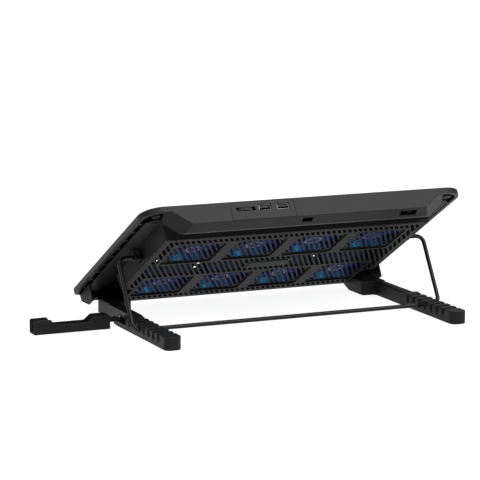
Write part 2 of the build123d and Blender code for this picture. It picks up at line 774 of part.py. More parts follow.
def make_leg(side):
    with BuildPart() as leg:
        with BuildSketch(DESK):
            add(leg_plan(side))
        extrude(amount=HEAD_HEIGHT + 6)
        with BuildSketch(desk_side(-200)):
            add(leg_side())
            with Locations(LEG_AXIS):
                Circle(KNUCKLE)
        extrude(amount=400, mode=Mode.INTERSECT)
        # shelf on the outer side, where the phone holder is pinned
        with BuildSketch(DESK.offset(TONGUE_LOW - 0.4)):
            with Locations((side * LEG_OUTER, (RECESS_END + SHELF_END) / 2)):
                Rectangle(2 * (LEG_OUTER - RAIL_OUTER), SHELF_END - RECESS_END)
        extrude(amount=20, mode=Mode.SUBTRACT)
        # notches with rounded floors
        with BuildSketch(desk_side(-200)):
            for y in notch_places():
                with Locations((y, NOTCH_FLOOR + NOTCH_WIDTH / 2)):
                    Circle(NOTCH_WIDTH / 2)
                with Locations((y, NOTCH_FLOOR + NOTCH_WIDTH / 2 + 10)):
                    Rectangle(NOTCH_WIDTH, 20)
        extrude(amount=400, mode=Mode.SUBTRACT)
        # hinge bore
        with BuildSketch(desk_side(-200)):
            with Locations(LEG_AXIS):
                Circle(PIN_RADIUS + RUNNING)
        extrude(amount=400, mode=Mode.SUBTRACT)
        # pockets for the rubber feet
        with BuildSketch(DESK.offset(FOOT_PROUD)):
            with Locations(*foot_places(side)):
                RectangleRounded(11.4, 22.4, 3)
        extrude(amount=FOOT_SINK, mode=Mode.SUBTRACT)
    return leg


def foot_places(side):
    middle = side * (LEG_INNER + RAIL_OUTER + 1) / 2
    return [(middle, 62.0), (side * 178.2, 258.0)]


def make_legs():
    for side, name in ((-1, "left"), (1, "right")):
        leg = make_leg(side)
        if side > 0:
            with BuildPart() as bored_leg:
                add(leg.part)
                with BuildSketch(DESK):
                    with Locations(HOLDER_PIN):
                        Circle(HOLDER_PIN_RADIUS)
                extrude(amount=TONGUE_LOW, mode=Mode.SUBTRACT)
            leg = bored_leg
        save(leg, f"leg_{name}")
        with BuildPart() as feet:
            with BuildSketch(DESK):
                with Locations(*foot_places(side)):
                    RectangleRounded(11, 22, 3)
            extrude(amount=FOOT_PROUD + FOOT_SINK)
        save(feet, f"feet_{name}")
        with BuildPart() as leg_pin:
            start = HEAD_INNER - 4.4 if side > 0 else -CHEEK_HALF
            with BuildSketch(pad_side(start)):
                with Locations((PIN_S, -PIN_DROP)):
                    Circle(PIN_RADIUS)
            extrude(amount=CHEEK_HALF - HEAD_INNER + 4.4)
        save(leg_pin, f"leg_pin_{name}")


# ---------------------------------------------------------------- wire bail
def make_bail():
    foot_y, foot_z = BAIL_FOOT
    top_y, top_z = BAIL_AXIS
    plane = Plane(
        origin=DESK.from_local_coords((0, foot_y, foot_z)),
        x_dir=(1, 0, 0),
        z_dir=Vector(1, 0, 0).cross(Vector(0, top_y - foot_y, top_z - foot_z)).normalized(),
    )
    height = sqrt((top_y - foot_y) ** 2 + (top_z - foot_z) ** 2)
    end = BOX_HALF_LOW - 4.0
    with BuildPart() as bail:
        with BuildLine(plane) as path:
            FilletPolyline(
                (-end, height),
                (-BAIL_ARM, height),
                (-BAIL_ARM, 0),
                (BAIL_ARM, 0),
                (BAIL_ARM, height),
                (end, height),
                radius=9.0,
            )
        start = Plane(origin=path.wire() @ 0, z_dir=path.wire() % 0)
        with BuildSketch(start):
            Circle(WIRE)
        sweep(path=path.wire())
    save(bail, "bail")
    for side, name in ((-1, "left"), (1, "right")):
        with BuildPart() as clip:
            # two ears with a bore for the wire, joined by a strip under the flange
            for start in (0.2, 6.2):
                with BuildSketch(pad_side(side * (BOX_HALF_TOP + start))):
                    with Locations((BAIL_S, -(FLANGE_LOW + 0.1 + BAIL_DROP + 3.6) / 2)):
                        Rectangle(8.0, BAIL_DROP + 3.6 - FLANGE_LOW - 0.1)
                    with Locations((BAIL_S, -BAIL_DROP)):
                        Circle(WIRE + RUNNING, mode=Mode.SUBTRACT)
                extrude(amount=side * 2.6)
            with BuildSketch(pad_side(side * (BOX_HALF_TOP + 0.2))):
                with Locations((BAIL_S, -FLANGE_LOW - 0.9)):
                    Rectangle(8.0, 1.6)
            extrude(amount=side * 8.6)
            with BuildSketch(pad_side(side * (BOX_HALF_TOP + 0.2))):
                with Locations((BAIL_S - 10, -BAIL_DROP + 1)):
                    RectangleRounded(14, 8, 2)
                with Locations((BAIL_S - 12, -BAIL_DROP + 1)):
                    Circle(1.4, mode=Mode.SUBTRACT)
            extrude(amount=side * 2.0)
        save(clip, f"bail_clip_{name}")


# ---------------------------------------------------------------- phone holder
def holder_wall():
    """Side of the channel: tall ends and a low middle with sloping shoulders."""
    start = HOLDER_START
    with BuildSketch() as wall:
        with BuildLine():
            Polyline(
                (start, 0.6),
                (start, HOLDER_HEIGHT),
                (start + 18.8, HOLDER_HEIGHT),
                (start + 26.7, HOLDER_LOW),
                (start + 66.7, HOLDER_LOW),
                (start + 71.5, HOLDER_HEIGHT),
                (HOLDER_END, HOLDER_HEIGHT),
                (HOLDER_END, 0.6),
                close=True,
            )
        make_face()
        fillet(vertices().group_by(Axis.Y)[-1], 2.4)
    return wall.sketch


def make_phone_holder():
    front = HOLDER_FRONT
    rear = HOLDER_FRONT + HOLDER_WIDTH
    across = Plane(
        origin=DESK.from_local_coords((0, rear, 0)), x_dir=(1, 0, 0), z_dir=(0, -1, 0)
    )
    with BuildPart() as phone_holder:
        with BuildSketch(across):
            add(holder_wall())
        extrude(amount=HOLDER_WIDTH)
        with BuildSketch(DESK.offset(0.6 + 2.2)):
            with Locations(((HOLDER_START + 2.4 + HOLDER_END + 1) / 2, (front + rear) / 2)):
                Rectangle(HOLDER_END + 1 - HOLDER_START - 2.4, HOLDER_WIDTH - 4.4)
        extrude(amount=30, mode=Mode.SUBTRACT)
        # flat tongue that reaches over the leg's shelf to its pin
        pin_x, pin_y = HOLDER_PIN
        with BuildSketch(DESK.offset(TONGUE_LOW)):
            with Locations(((pin_x + HOLDER_START + 1) / 2, pin_y)):
                Rectangle(HOLDER_START + 1 - pin_x, 8.4)
            with Locations((pin_x, pin_y)):
                Circle(4.2)
        extrude(amount=TONGUE_THICK)
        with BuildSketch(DESK.offset(TONGUE_LOW)):
            with Locations((pin_x, pin_y)):
                Circle(HOLDER_PIN_RADIUS + RUNNING)
        extrude(amount=TONGUE_THICK, mode=Mode.SUBTRACT)
    save(phone_holder, "phone_holder")
    with BuildPart() as holder_pin:
        with BuildSketch(DESK.offset(1.0)):
            with Locations((pin_x, pin_y)):
                Circle(HOLDER_PIN_RADIUS)
        extrude(amount=TONGUE_LOW + TONGUE_THICK + 0.3 - 1.0)
        with BuildSketch(DESK.offset(TONGUE_LOW + TONGUE_THICK + 0.3)):
            with Locations((pin_x, pin_y)):
                Circle(3.0)
        extrude(amount=1.4)
    save(holder_pin, "holder_pin")


# ---------------------------------------------------------------- laptop stops
def make_stops():
    for side, name in ((-1, "left"), (1, "right")):
        start = side * STOP_MIDDLE - STOP_LENGTH / 2
        with BuildPart() as stop:
            with BuildSketch(pad_side(start)):
                with Locations((STOP_PIN_S, -STOP_PIN_DROP)):
                    Circle(2.6)
                with Locations(((STOP_PIN_S + STOP_REAR) / 2, -2.0)):
                    RectangleRounded(STOP_REAR - STOP_PIN_S, 3.4, 1.2)
                with Locations((STOP_PIN_S, -STOP_PIN_DROP)):
                    Circle(1.25 + RUNNING, mode=Mode.SUBTRACT)
            extrude(amount=STOP_LENGTH)
        save(stop, f"laptop_stop_{name}")
        with BuildPart() as stop_pin:
            with BuildSketch(pad_side(start - 0.45)):
                with Locations((STOP_PIN_S, -STOP_PIN_DROP)):
                    Circle(1.25)
            extrude(amount=STOP_LENGTH + 0.9)
        save(stop_pin, f"stop_pin_{name}")


os.makedirs("parts", exist_ok=True)
make_top_frame()
make_top_mesh()
make_port_panel()
make_usb_ports()
make_speed_dial()
make_control_board()
make_lamp_switch()
make_bottom_cover()
make_grille()
make_fans()
make_fan_lamps()
make_fasteners()
make_legs()
make_bail()
make_phone_holder()
make_stops()
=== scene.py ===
"""Laptop cooling pad: rounded shells, wire bail, fans, lamps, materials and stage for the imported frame.

Lengths are metres. A point on the pad is given as (u, s, drop): distance to the user's right of the
pad's middle, distance up the slope from its front edge, and depth below the laptop's face.
"""
import json
from math import cos, pi, radians, sin, tau

import bmesh
import bpy
import numpy as np
from bpy.props import FloatProperty, FloatVectorProperty, IntProperty, PointerProperty
from bpy.types import Operator, Panel, PropertyGroup
from mathutils import Matrix, Vector


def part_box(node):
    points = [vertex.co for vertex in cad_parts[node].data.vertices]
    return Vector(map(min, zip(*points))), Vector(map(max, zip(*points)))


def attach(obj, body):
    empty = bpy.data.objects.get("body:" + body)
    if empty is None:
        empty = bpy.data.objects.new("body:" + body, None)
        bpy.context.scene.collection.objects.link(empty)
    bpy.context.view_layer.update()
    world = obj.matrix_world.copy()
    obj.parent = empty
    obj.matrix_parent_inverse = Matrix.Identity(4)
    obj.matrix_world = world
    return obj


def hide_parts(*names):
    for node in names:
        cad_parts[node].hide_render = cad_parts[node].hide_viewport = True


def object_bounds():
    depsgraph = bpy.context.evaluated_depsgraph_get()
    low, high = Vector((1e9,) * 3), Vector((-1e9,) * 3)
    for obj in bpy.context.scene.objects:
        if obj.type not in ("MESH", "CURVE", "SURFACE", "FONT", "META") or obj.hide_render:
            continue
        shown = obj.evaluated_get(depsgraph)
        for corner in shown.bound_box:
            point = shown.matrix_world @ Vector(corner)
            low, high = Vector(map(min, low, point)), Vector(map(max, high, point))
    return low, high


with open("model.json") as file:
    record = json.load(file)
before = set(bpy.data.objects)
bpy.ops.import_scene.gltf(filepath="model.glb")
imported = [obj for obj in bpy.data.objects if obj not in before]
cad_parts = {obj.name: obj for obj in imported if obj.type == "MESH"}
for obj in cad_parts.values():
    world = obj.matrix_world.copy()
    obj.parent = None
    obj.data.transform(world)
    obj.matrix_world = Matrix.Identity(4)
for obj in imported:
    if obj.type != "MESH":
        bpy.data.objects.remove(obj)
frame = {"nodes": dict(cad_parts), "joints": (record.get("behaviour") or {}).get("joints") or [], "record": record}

bl_info = {
    "name": "Laptop cooling pad",
    "version": (1, 0, 0),
    "blender": (4, 5, 0),
    "location": "View3D > Sidebar > Cooling Pad",
    "description": "Builds the finished surfaces, materials and stage of a sloping laptop cooling pad",
    "category": "Object",
}

# ---------------------------------------------------------------- places read from the frame
CAD_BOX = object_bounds()
MOUNTS = {mount["name"]: mount for mount in frame["record"]["mounts"]}
JOINTS = {joint["name"]: joint for joint in frame["joints"]}
FACE_UP = np.array(MOUNTS["laptop_face"]["axis"])
UP_SLOPE = np.array((0.0, FACE_UP[2], -FACE_UP[1]))
FACE_MOUNT_S = 0.264
FRONT_EDGE = np.array(MOUNTS["laptop_face"]["pos_m"]) - FACE_MOUNT_S * UP_SLOPE
FAN_NUMBERS = range(1, 9)


def on_pad(u, s, drop):
    """World points for pad coordinates: front edge + u right + s up the slope - drop along its normal."""
    u, s, drop = np.broadcast_arrays(*(np.asarray(value, float) for value in (u, s, drop)))
    right = np.array((1.0, 0.0, 0.0))
    return FRONT_EDGE + u[..., None] * right + s[..., None] * UP_SLOPE - drop[..., None] * FACE_UP


def fan_centre(number):
    """Pad coordinates (u, s) of a fan's axis."""
    offset = np.array(JOINTS[f"fan_{number}_spin"]["pos_m"]) - FRONT_EDGE
    return offset[0], float(offset @ UP_SLOPE)


LAMP_OFFSETS = ((-0.020, -0.0395), (0.011, -0.0395))
LAMP_DROPS = (0.0182, 0.0242)
LAMP_RADIUS = 0.0015
LAMP_SIDES = 16


def lamp_places():
    """Pad coordinates (u, s) of all lamps, two in front of each fan."""
    centres = np.array([fan_centre(number) for number in FAN_NUMBERS])
    return (centres[:, None] + np.array(LAMP_OFFSETS)[None]).reshape(-1, 2)


# ---------------------------------------------------------------- meshes
SAME_POINT = 2e-6  # corners closer than this are one corner
FLAT_ANGLE = radians(0.6)  # faces that meet flatter than this are one face
SHARP_ANGLE = radians(50)  # smooth shading stops at edges sharper than this
EDGE_ANGLE = radians(40)  # edges sharper than this are rounded
EDGE_SEGMENTS = 2


def mesh_piece(name, points, faces, material, body, smooth=True):
    """Object at the origin from an array of points and a list of equal-length face index arrays."""
    mesh = bpy.data.meshes.new(name)
    mesh.vertices.add(len(points))
    mesh.vertices.foreach_set("co", np.asarray(points, np.float32).ravel())
    loops = np.concatenate([face.ravel() for face in faces]).astype(np.int32)
    counts = np.concatenate([np.full(len(face), face.shape[1]) for face in faces])
    starts = np.concatenate(([0], np.cumsum(counts)[:-1])).astype(np.int32)
    mesh.loops.add(len(loops))
    mesh.loops.foreach_set("vertex_index", loops)
    mesh.polygons.add(len(counts))
    mesh.polygons.foreach_set("loop_start", starts)
    mesh.update(calc_edges=True)
    mesh.validate()
    mesh.polygons.foreach_set("use_smooth", np.full(len(mesh.polygons), smooth))
    mesh.materials.append(material)
    piece = bpy.data.objects.new(name, mesh)
    bpy.context.scene.collection.objects.link(piece)
    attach(piece, body)
    return piece


def grid_faces(rows, columns, start=0, wrap_rows=False, wrap_columns=False):
    """Quads of a rows x columns grid of points, each wound the same way round."""
    last_row = rows if wrap_rows else rows - 1
    last_column = columns if wrap_columns else columns - 1
    row, column = np.meshgrid(np.arange(last_row), np.arange(last_column), indexing="ij")
    below = (row + 1) % rows
    beside = (column + 1) % columns
    here, there = row * columns, below * columns
    quads = np.stack((here + column, here + beside, there + beside, there + column), axis=-1)
    return start + quads.reshape(-1, 4)


def tube(path, radius, sides):
    """Round profile of this radius carried along a flat path; caps close both ends.

    The path turns in one plane, so the plane's normal and tangent x normal span every section.
    """
    tangents = np.gradient(path, axis=0)
    tangents /= np.linalg.norm(tangents, axis=1, keepdims=True)
    normal = np.cross(path[len(path) // 2] - path[0], path[-1] - path[0])
    normal /= np.linalg.norm(normal)
    across = np.cross(tangents, normal)
    angle = np.arange(sides) / sides * tau
    ring = np.cos(angle)[None, :, None] * across[:, None] + np.sin(angle)[None, :, None] * normal
    points = path[:, None] + radius * ring
    count = len(path)
    points = np.concatenate((points.reshape(-1, 3), path[:1], path[-1:]))
    step = np.arange(sides)
    turn = (step + 1) % sides
    first = np.stack((np.full(sides, count * sides), turn, step), axis=-1)
    base = (count - 1) * sides
    last = np.stack((np.full(sides, count * sides + 1), base + step, base + turn), axis=-1)
    return points, [grid_faces(count, sides, wrap_columns=True), first, last]


def soft_copy(node, width, material, body):
    """Copy of a CAD node with doubles merged, flat faces joined and its sharp edges rounded."""
    mesh = frame["nodes"][node].data.copy()
    mesh.name = f"{node}_finish"
    shape = bmesh.new()
    shape.from_mesh(mesh)
    bmesh.ops.remove_doubles(shape, verts=shape.verts, dist=SAME_POINT)
    bmesh.ops.dissolve_limit(shape, angle_limit=FLAT_ANGLE, verts=shape.verts, edges=shape.edges)
    shape.to_mesh(mesh)
    shape.free()
    mesh.polygons.foreach_set("use_smooth", np.full(len(mesh.polygons), True))
    mesh.set_sharp_from_angle(angle=SHARP_ANGLE)
    mesh.materials.clear()
    mesh.materials.append(material)
    piece = bpy.data.objects.new(f"{node}_finish", mesh)
    bpy.context.scene.collection.objects.link(piece)
    bevel = piece.modifiers.new("edge_rounding", "BEVEL")
    bevel.width = width
    bevel.segments = EDGE_SEGMENTS
    bevel.limit_method = "ANGLE"
    bevel.angle_limit = EDGE_ANGLE
    bevel.use_clamp_overlap = False
    bevel.harden_normals = True
    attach(piece, body)
    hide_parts(node)
    return piece


def set_finish(node, material):
    """Gives a CAD node that stays its better material."""
    data = frame["nodes"][node].data
    data.materials.clear()
    data.materials.append(material)


# ---------------------------------------------------------------- materials
def new_material(name):
    material = bpy.data.materials.new(name)
    material.use_nodes = True
    tree = material.node_tree
    shader = tree.nodes["Principled BSDF"]
    coordinates = tree.nodes.new("ShaderNodeTexCoord").outputs["Object"]
    return material, tree, shader, coordinates


def noise(tree, coordinates, scale, detail=3.0, roughness=0.55):
    node = tree.nodes.new("ShaderNodeTexNoise")
    node.inputs["Scale"].default_value = scale
    node.inputs["Detail"].default_value = detail
    node.inputs["Roughness"].default_value = roughness
    tree.links.new(coordinates, node.inputs["Vector"])
    return node.outputs["Fac"]


def spread(tree, value, low, high):
    """Maps a 0 to 1 pattern to the range from low to high."""
    node = tree.nodes.new("ShaderNodeMapRange")
    node.inputs["To Min"].default_value = low
    node.inputs["To Max"].default_value = high
    tree.links.new(value, node.inputs["Value"])
    return node.outputs["Result"]


def tones(tree, value, dark, light):
    """Mixes two colours by a pattern."""
    node = tree.nodes.new("ShaderNodeMix")
    node.data_type = "RGBA"
    node.inputs["A"].default_value = (*dark, 1)
    node.inputs["B"].default_value = (*light, 1)
    tree.links.new(value, node.inputs["Factor"])
    return node.outputs["Result"]


def bump(tree, height, strength, distance, shader, edge_round=0.0):
    """Feeds a height pattern to the shader's normal, over edges softened by edge_round."""
    node = tree.nodes.new("ShaderNodeBump")
    node.inputs["Strength"].default_value = strength
    node.inputs["Distance"].default_value = distance
    tree.links.new(height, node.inputs["Height"])
    if edge_round > 0:
        rounding = tree.nodes.new("ShaderNodeBevel")
        rounding.samples = 4
        rounding.inputs["Radius"].default_value = edge_round
        tree.links.new(rounding.outputs["Normal"], node.inputs["Normal"])
    tree.links.new(node.outputs["Normal"], shader.inputs["Normal"])


def moulded(name, colour, rough, grain, edge_round=0.0, sheen=0.16):
    """Spark-eroded black plastic: fine grain in the surface, slow drift in tone and in gloss."""
    material, tree, shader, at = new_material(name)
    drift = noise(tree, at, 28, 2)
    pores = noise(tree, at, grain, 4, 0.7)
    light = tuple(min(1.0, 1.35 * channel + 0.001) for channel in colour)
    dark = tuple(0.78 * channel for channel in colour)
    tree.links.new(tones(tree, drift, dark, light), shader.inputs["Base Color"])
    tree.links.new(spread(tree, pores, rough - 0.07, rough + 0.1), shader.inputs["Roughness"])
    shader.inputs["Specular IOR Level"].default_value = sheen
    bump(tree, pores, 0.22, 0.00012, shader, edge_round)
    return material


def coated_wire(name, colour, rough):
    """Enamelled steel wire: smooth with a faint orange peel."""
    material, tree, shader, at = new_material(name)
    peel = noise(tree, at, 900, 2)
    dust = noise(tree, at, 60, 3)
    light = tuple(1.5 * channel for channel in colour)
    tree.links.new(tones(tree, dust, colour, light), shader.inputs["Base Color"])
    tree.links.new(spread(tree, dust, rough - 0.05, rough + 0.08), shader.inputs["Roughness"])
    shader.inputs["Specular IOR Level"].default_value = 0.16
    shader.inputs["Coat Weight"].default_value = 0.06
    shader.inputs["Coat Roughness"].default_value = 0.2
    bump(tree, peel, 0.12, 0.0001, shader)
    return material


def powder_coat(name, colour):
    """Powder-coated sheet: small even grains."""
    material, tree, shader, at = new_material(name)
    grains = noise(tree, at, 2600, 3, 0.6)
    light = tuple(1.4 * channel for channel in colour)
    tree.links.new(tones(tree, grains, colour, light), shader.inputs["Base Color"])
    tree.links.new(spread(tree, grains, 0.48, 0.66), shader.inputs["Roughness"])
    bump(tree, grains, 0.3, 0.0001, shader)
    return material


def bright_metal(name, colour, rough, stretch):
    """Drawn or turned metal: noise stretched along one axis makes the fine lines."""
    material, tree, shader, at = new_material(name)
    mapping = tree.nodes.new("ShaderNodeMapping")
    mapping.inputs["Scale"].default_value = stretch
    tree.links.new(at, mapping.inputs["Vector"])
    lines = noise(tree, mapping.outputs["Vector"], 700, 3)
    shader.inputs["Metallic"].default_value = 1.0
    dark = tuple(0.8 * channel for channel in colour)
    tree.links.new(tones(tree, lines, dark, colour), shader.inputs["Base Color"])
    tree.links.new(spread(tree, lines, rough - 0.06, rough + 0.12), shader.inputs["Roughness"])
    bump(tree, lines, 0.1, 0.00005, shader)
    return material


def soft_rubber(name, colour):
    """Matt rubber with a faint bloom."""
    material, tree, shader, at = new_material(name)
    bloom = noise(tree, at, 180, 4)
    light = tuple(1.9 * channel for channel in colour)
    tree.links.new(tones(tree, bloom, colour, light), shader.inputs["Base Color"])
    tree.links.new(spread(tree, bloom, 0.78, 0.95), shader.inputs["Roughness"])
    bump(tree, noise(tree, at, 1500, 2), 0.25, 0.0001, shader)
    return material


def arithmetic(tree, operation, *terms):
    """One Math node: each term is a number or another node's output."""
    node = tree.nodes.new("ShaderNodeMath")
    node.operation = operation
    for socket, term in zip(node.inputs, terms):
        if isinstance(term, (int, float)):
            socket.default_value = term
        else:
            tree.links.new(term, socket)
    return node.outputs[0]


def painted_lamp_glow(tree, coordinates, reach):
    """Painted lamp light: sum over the two lamps of the nearest fan of 1 / (1 + (distance / reach)^2)^2, held at
    1.

    The fans repeat evenly to the right and up the slope, so both distances wrap round half a step.
    """
    first = np.array(fan_centre(1))
    steps = (fan_centre(2)[0] - first[0], fan_centre(5)[1] - first[1])
    along = []
    for axis in ((1.0, 0.0, 0.0), UP_SLOPE, FACE_UP):
        node = tree.nodes.new("ShaderNodeVectorMath")
        node.operation = "DOT_PRODUCT"
        node.inputs[1].default_value = [float(part) for part in axis]
        tree.links.new(coordinates, node.inputs[0])
        origin = float(FRONT_EDGE @ np.array(axis))
        along.append(arithmetic(tree, "SUBTRACT", node.outputs["Value"], origin))
    depth = arithmetic(tree, "ADD", along[2], float(np.mean(LAMP_DROPS)))
    total = None
    for offset in LAMP_OFFSETS:
        squares = arithmetic(tree, "MULTIPLY", depth, depth)
        for place, start, step, shift in zip(along, first, steps, offset):
            apart = arithmetic(tree, "SUBTRACT", place, float(start + shift))
            apart = arithmetic(tree, "WRAP", apart, float(step / 2), float(-step / 2))
            squares = arithmetic(tree, "ADD", squares, arithmetic(tree, "MULTIPLY", apart, apart))
        fall = arithmetic(tree, "ADD", arithmetic(tree, "DIVIDE", squares, reach**2), 1.0)
        share = arithmetic(tree, "POWER", fall, -2.0)
        total = share if total is None else arithmetic(tree, "ADD", total, share)
    return arithmetic(tree, "MINIMUM", total, 1.0)


def painted_lamp_light_blue(name, colour, painted_base_glow, glow_colour, painted_glow_strength, reach):
    """Tinted plastic with the lamps' light painted on as emission: bright beside a lamp, fading over reach to a
    dim painted glow.
    """
    material, tree, shader, at = new_material(name)
    cloud = noise(tree, at, 140, 3)
    dark = tuple(0.55 * channel for channel in colour)
    tree.links.new(tones(tree, cloud, dark, colour), shader.inputs["Base Color"])
    tree.links.new(spread(tree, cloud, 0.18, 0.34), shader.inputs["Roughness"])
    shader.inputs["Specular IOR Level"].default_value = 0.2
    # painted lamp light: emission strength and colour follow the distance to the nearest lamps
    glow = painted_lamp_glow(tree, at, reach)
    # painted glow away from a lamp: the plastic's own tint, brightened, used as emission colour
    painted_tint_glow = tuple(min(1.0, 4.0 * channel) for channel in colour)
    near = arithmetic(tree, "MINIMUM", arithmetic(tree, "MULTIPLY", glow, 4.0), 1.0)
    tree.links.new(tones(tree, near, painted_tint_glow, glow_colour), shader.inputs["Emission Color"])
    tree.links.new(spread(tree, glow, painted_base_glow, painted_glow_strength), shader.inputs["Emission Strength"])
    return material


def lamp_light(name, colour, strength):
    """Clear lamp lens around a lit chip: brighter towards the noise's peaks, as a diffuser is."""
    material, tree, shader, at = new_material(name)
    sparkle = noise(tree, at, 1200, 2)
    pale = tuple(0.15 + 0.85 * channel for channel in colour)
    tree.links.new(tones(tree, sparkle, colour, pale), shader.inputs["Base Color"])
    tree.links.new(tones(tree, sparkle, colour, pale), shader.inputs["Emission Color"])
    glow = spread(tree, sparkle, 0.8 * strength, 1.2 * strength)
    tree.links.new(glow, shader.inputs["Emission Strength"])
    shader.inputs["Roughness"].default_value = 0.2
    return material


def board_lacquer(name):
    """Green solder mask with a faint weave below it."""
    material, tree, shader, at = new_material(name)
    weave = noise(tree, at, 1600, 2)
    green = tones(tree, weave, (0.01, 0.07, 0.03), (0.02, 0.12, 0.05))
    tree.links.new(green, shader.inputs["Base Color"])
    tree.links.new(spread(tree, weave, 0.25, 0.4), shader.inputs["Roughness"])
    return material


FRAME_PAINTED_GLOW = 16.0  # painted lamp light: emission of a fan frame at a lamp
FRAME_REACH = 0.0056  # distance over which it fades
BLADE_PAINTED_BASE_GLOW = 0.06  # painted glow: emission of a blade far from any lamp
BLADE_REACH = 0.009
MATERIALS = {}


def make_materials(settings):
    """Fills MATERIALS with the finishes, each under the name of the record's slot it stands for."""
    shell = tuple(settings.shell_colour)
    blue = tuple(settings.fan_colour)
    lamp = tuple(settings.lamp_colour)
    MATERIALS.update(
        frame_plastic=moulded("frame_plastic_finish", shell, 0.46, 1500, 0.0005),
        cover_plastic=moulded("cover_plastic_finish", shell, 0.52, 1300, sheen=0.09),
        grille_plastic=moulded("grille_plastic_finish", shell, 0.5, 1500, 0.0004, 0.07),
        leg_plastic=moulded("leg_plastic_finish", shell, 0.44, 1500, sheen=0.1),
        dial_plastic=moulded("dial_plastic_finish", tuple(1.6 * c for c in shell), 0.36, 1800),
        mesh_metal=powder_coat("mesh_metal_finish", (0.024, 0.024, 0.026)),
        wire_metal=coated_wire("wire_metal_finish", tuple(settings.wire_colour), 0.34),
        # fan frames and blades get the lamps' light painted on them as emission
        fan_frame_plastic=painted_lamp_light_blue(
            "fan_frame_finish", tuple(0.35 * c for c in blue), 0.0, lamp, FRAME_PAINTED_GLOW, FRAME_REACH
        ),
        fan_blade_plastic=painted_lamp_light_blue(
            "fan_blade_finish", blue, BLADE_PAINTED_BASE_GLOW, lamp, settings.painted_blade_glow, BLADE_REACH
        ),
        lamp_lens=lamp_light("lamp_lens_finish", lamp, settings.lamp_strength),
        usb_metal=bright_metal("usb_metal_finish", (0.16, 0.16, 0.17), 0.4, (1, 0.05, 1)),
        usb_insert=moulded("usb_insert_finish", (0.012, 0.012, 0.013), 0.35, 1800),
        board_green=board_lacquer("board_green_finish"),
        pin_steel=bright_metal("pin_steel_finish", (0.42, 0.42, 0.44), 0.3, (0.1, 1, 1)),
        screw_steel=bright_metal("screw_steel_finish", (0.03, 0.03, 0.034), 0.5, (1, 1, 1)),
        rubber_black=soft_rubber("rubber_black_finish", (0.014, 0.014, 0.015)),
    )


# ---------------------------------------------------------------- settings
class CoolingPadSettings(PropertyGroup):
    shell_colour: FloatVectorProperty(
        name="Shell colour", description="Base colour of the moulded black parts",
        subtype="COLOR", size=3, min=0, max=1, default=(0.0075, 0.0076, 0.0082),
    )
    wire_colour: FloatVectorProperty(
        name="Wire colour", description="Enamel on the wire bail",
        subtype="COLOR", size=3, min=0, max=1, default=(0.004, 0.004, 0.0045),
    )
    fan_colour: FloatVectorProperty(
        name="Fan colour", description="Tint of the fan blades",
        subtype="COLOR", size=3, min=0, max=1, default=(0.008, 0.016, 0.11),
    )
    lamp_colour: FloatVectorProperty(
        name="Lamp colour", description="Light of the lamps beside the fans",
        subtype="COLOR", size=3, min=0, max=1, default=(0.015, 0.55, 0.75),
    )
    lamp_strength: FloatProperty(
        name="Lamp strength", description="Emission of the lamp lenses", min=0, default=3.2,
    )
    # painted lamp light on the blades: emission strength beside a lamp
    painted_blade_glow: FloatProperty(
        name="Blade glow", description="Emission of the blades beside a lamp", min=0, default=0.7,
    )
    edge_round: FloatProperty(
        name="Edge rounding", description="Radius on the outer edges of the moulded parts",
        unit="LENGTH", min=0.0001, max=0.002, default=0.0006,
    )
    blades: IntProperty(name="Blades", description="Blades on each fan", min=3, max=13, default=9)
    rotor_radius: FloatProperty(
        name="Rotor radius", description="Tip radius of the fan blades",
        unit="LENGTH", min=0.02, max=0.0299, default=0.0296,
    )
    hub_radius: FloatProperty(
        name="Hub radius", description="Radius of the fan hubs",
        unit="LENGTH", min=0.008, max=0.02, default=0.012,
    )
    wire_radius: FloatProperty(
        name="Wire radius", description="Half the bail wire's thickness",
        unit="LENGTH", min=0.001, max=0.004, default=0.0025,
    )
    bend_radius: FloatProperty(
        name="Bend radius", description="Radius of the bail's bends at the wire's middle",
        unit="LENGTH", min=0.005, max=0.02, default=0.009,
    )


def settings_now():
    return bpy.context.scene.cooling_pad


# ---------------------------------------------------------------- shells
SHELL_EDGES = {
    "bottom_cover": ("pad", "cover_plastic", 1.0),
    "port_panel": ("pad", "frame_plastic", 0.35),
    "blank_plate": ("pad", "grille_plastic", 0.3),
    "bail_clip_left": ("pad", "cover_plastic", 0.8),
    "bail_clip_right": ("pad", "cover_plastic", 0.8),
    "leg_left": ("leg_left", "leg_plastic", 1.2),
    "leg_right": ("leg_right", "leg_plastic", 1.2),
    "phone_holder": ("phone_holder", "leg_plastic", 1.1),
    "laptop_stop_left": ("laptop_stop_left", "frame_plastic", 0.8),
    "laptop_stop_right": ("laptop_stop_right", "frame_plastic", 0.8),
}


class COOLINGPAD_OT_shells(Operator):
    """Rounded finish of every moulded shell, leg, clip, stop and of the phone holder"""

    bl_idname = "coolingpad.shells"
    bl_label = "Moulded shells"

    def execute(self, context):
        settings = settings_now()
        for node, (body, slot, share) in SHELL_EDGES.items():
            soft_copy(node, share * settings.edge_round, MATERIALS[slot], body)
        return {"FINISHED"}


# ---------------------------------------------------------------- wire bail
def rounded_path(corners, radius, steps):
    """Straight runs joined by arcs of one radius that are tangent to both runs.

    At each corner the arc starts radius x tan(turn / 2) before it and ends as far behind it.
    """
    stretches = [corners[:1]]
    for before, corner, after in zip(corners[:-2], corners[1:-1], corners[2:]):
        into = (corner - before) / np.linalg.norm(corner - before)
        out = (after - corner) / np.linalg.norm(after - corner)
        turn = np.arccos(np.clip(into @ out, -1, 1))
        inward = out - into
        inward /= np.linalg.norm(inward)
        centre = corner + inward * radius / cos(turn / 2)
        start = corner - into * radius * np.tan(turn / 2) - centre
        side = into
        angle = np.linspace(0, turn, steps)[:, None]
        stretches.append(centre + start * np.cos(angle) + radius * side * np.sin(angle))
    stretches.append(corners[-1:])
    return np.concatenate(stretches)


